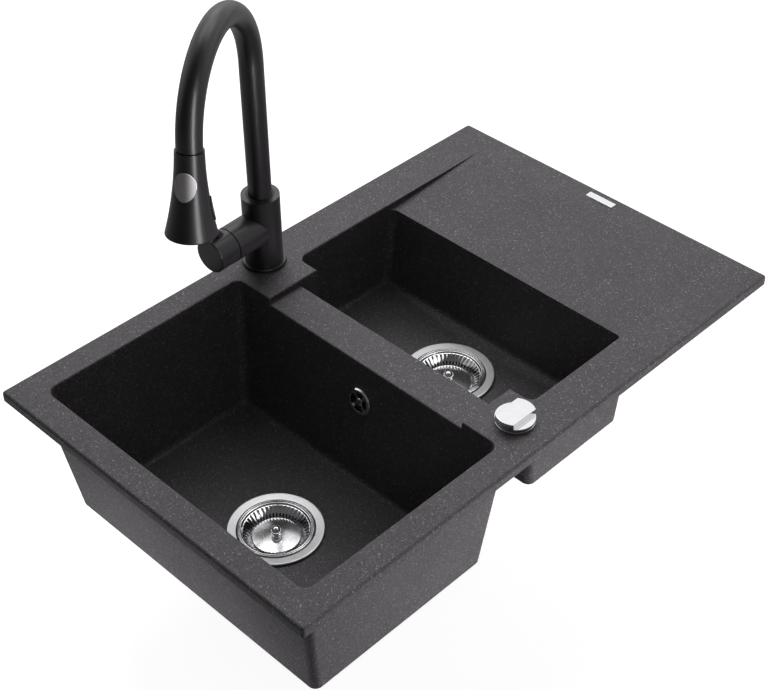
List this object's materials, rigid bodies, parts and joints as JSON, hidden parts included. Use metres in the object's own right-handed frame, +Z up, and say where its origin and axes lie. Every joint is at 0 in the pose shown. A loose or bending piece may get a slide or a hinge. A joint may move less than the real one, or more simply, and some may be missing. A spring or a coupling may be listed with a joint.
{
  "type": "kitchen sink with drainer",
  "caption": "Dark granite composite inset kitchen sink with a large and a small bowl, a drainer, basket wastes, an overflow, a pop-up control and a pull-out spray mixer tap.",
  "frame": {"origin": "middle of the back strip of the seat face under the rim, where it rests on the worktop", "axes": "+X along the rim towards the drainer, +Y towards the back where the tap stands, +Z up"},
  "size_m": [0.755, 0.48, 0.659],
  "materials": {
    "granite": "matte",
    "polished_steel": "polished",
    "steel": "satin",
    "brass": "satin",
    "black_metal": "matte",
    "black_plastic": "matte",
    "grey_plastic": "matte",
    "white_plastic": "satin",
    "rubber": "matte"
  },
  "bodies": {
    "sink": {"sink_body": "granite", "badge_plate": "polished_steel", "main_waste_flange": "polished_steel", "main_flange_gasket": "rubber", "main_clamp_gasket": "rubber", "main_waste_body": "black_plastic", "main_outlet_tube": "black_plastic", "main_waste_screw": "steel", "small_waste_flange": "polished_steel", "small_flange_gasket": "rubber", "small_clamp_gasket": "rubber", "small_waste_body": "black_plastic", "small_outlet_tube": "black_plastic", "small_waste_screw": "steel", "overflow_cover": "polished_steel", "overflow_screw": "steel", "overflow_gasket": "rubber", "overflow_elbow": "black_plastic", "overflow_pipe": "black_plastic", "popup_base": "polished_steel", "popup_housing": "black_plastic", "popup_nut": "black_plastic", "tap_base_ring": "black_metal", "tap_base_seal": "rubber", "tap_rubber_washer": "rubber", "tap_steel_washer": "steel", "tap_nut": "brass", "tap_body": "black_metal", "tap_cartridge": "white_plastic", "cartridge_nut": "brass", "spout_bush": "black_plastic", "spout_seals": "rubber", "spout_stop_screw": "steel"},
    "popup_knob": {"popup_knob": "polished_steel", "popup_spindle": "white_plastic"},
    "popup_pin": {"popup_pin": "steel"},
    "main_basket": {"main_basket": "polished_steel", "main_basket_post": "polished_steel", "main_basket_seal": "rubber"},
    "small_basket": {"small_basket": "polished_steel", "small_basket_post": "polished_steel", "small_basket_seal": "rubber"},
    "handle": {"handle_cap": "black_metal", "handle_lever": "black_metal", "handle_grub": "steel", "cartridge_stem": "brass"},
    "spout": {"spout_tube": "black_metal", "dock_sleeve": "white_plastic"},
    "spray_head": {"head_shell": "black_plastic", "valve_core": "white_plastic", "nozzle_plate": "black_plastic", "nozzle_tips": "rubber", "hose_nipple": "brass"},
    "spray_button": {"spray_button": "grey_plastic", "diverter_spool": "white_plastic"},
    "side_button": {"side_button": "black_plastic"}
  },
  "joints": [
    {"name": "spout_swivel", "type": "hinge", "parent": "sink", "child": "spout", "pos_m": [-0.0185, -0.026, 0.109], "axis": [0, 0, 1], "range_deg": [-120, 120]},
    {"name": "spray_pull", "type": "slide", "parent": "spout", "child": "spray_head", "axis": [-0.1505, -0.0866, -0.9848], "range_m": [0, 0.035]},
    {"name": "spray_button_press", "type": "slide", "parent": "spray_head", "child": "spray_button", "axis": [0.8537, 0.4909, -0.1736], "range_m": [0, 0.0012], "stiffness_N_per_m": 800},
    {"name": "side_button_press", "type": "slide", "parent": "spray_head", "child": "side_button", "axis": [-0.7379, 0.6728, 0.0537], "range_m": [0, 0.001], "stiffness_N_per_m": 800},
    {"name": "handle_turn", "type": "hinge", "parent": "sink", "child": "handle", "pos_m": [-0.07452, -0.02894, 0.0655], "axis": [0.9986, 0.0523, 0], "range_deg": [0, 100]},
    {"name": "popup_knob_turn", "type": "hinge", "parent": "sink", "child": "popup_knob", "pos_m": [-0.0225, -0.428, 0.012], "axis": [0, 0, 1], "range_deg": [0, 90]},
    {"name": "popup_pin_lift", "type": "slide", "parent": "sink", "child": "popup_pin", "axis": [0, 0, 1], "range_m": [0, 0.01]},
    {"name": "main_basket_lift", "type": "slide", "parent": "popup_pin", "child": "main_basket", "axis": [0, 0, 1], "range_m": [0, 0.2]},
    {"name": "small_basket_lift", "type": "slide", "parent": "sink", "child": "small_basket", "axis": [0, 0, 1], "range_m": [0, 0.15]}
  ],
  "couplings": [
    {"joint": "popup_pin_lift", "follows": "popup_knob_turn", "m_per_rad": 0.0063656}
  ]
}
